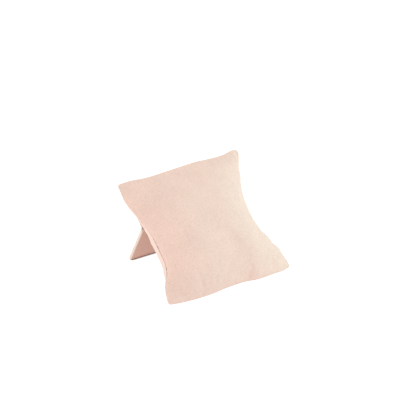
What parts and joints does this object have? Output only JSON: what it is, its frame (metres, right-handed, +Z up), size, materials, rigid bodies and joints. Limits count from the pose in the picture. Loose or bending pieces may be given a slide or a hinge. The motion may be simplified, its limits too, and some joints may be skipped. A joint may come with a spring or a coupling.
{
  "type": "ring bearer pillow",
  "caption": "Small square padded suede-cloth pillow for holding rings, leaning back on a fabric-wrapped board leg that hinges below a flange on its back and is held open by a ribbon.",
  "frame": {"origin": "on the floor, in the middle of the footprint of the pillow's bottom seam and the open leg", "axes": "+Z up, +X to the right along the bottom seam as seen from the front, +Y backwards to the leg"},
  "size_m": [0.15, 0.1055, 0.0952],
  "materials": {
    "suede_cloth": "brushed microsuede, blush",
    "filling": "polyester fibre",
    "thread": "spun polyester thread, tonal",
    "greyboard": "pressed greyboard",
    "glue": "hot-melt adhesive",
    "ribbon": "grosgrain ribbon, tonal"
  },
  "bodies": {
    "pillow": {"front_panel": "suede_cloth", "back_panel": "suede_cloth", "fibre_filling": "filling", "seam_stitches": "thread", "closing_stitches": "thread", "flange_board": "greyboard", "flange_cover": "suede_cloth", "flange_glue": "glue", "hinge_cloth": "suede_cloth", "stay_ribbon": "ribbon", "ribbon_tack": "thread"},
    "leg": {"leg_board": "greyboard", "leg_cover": "suede_cloth", "leg_lining": "suede_cloth"}
  },
  "joints": [
    {"name": "leg_fold", "type": "hinge", "parent": "pillow", "child": "leg", "pos_m": [0, 0.0268, 0.04819], "axis": [1, 0, 0], "range_deg": [-73, 0], "deforming": ["hinge_cloth", "stay_ribbon"]}
  ]
}
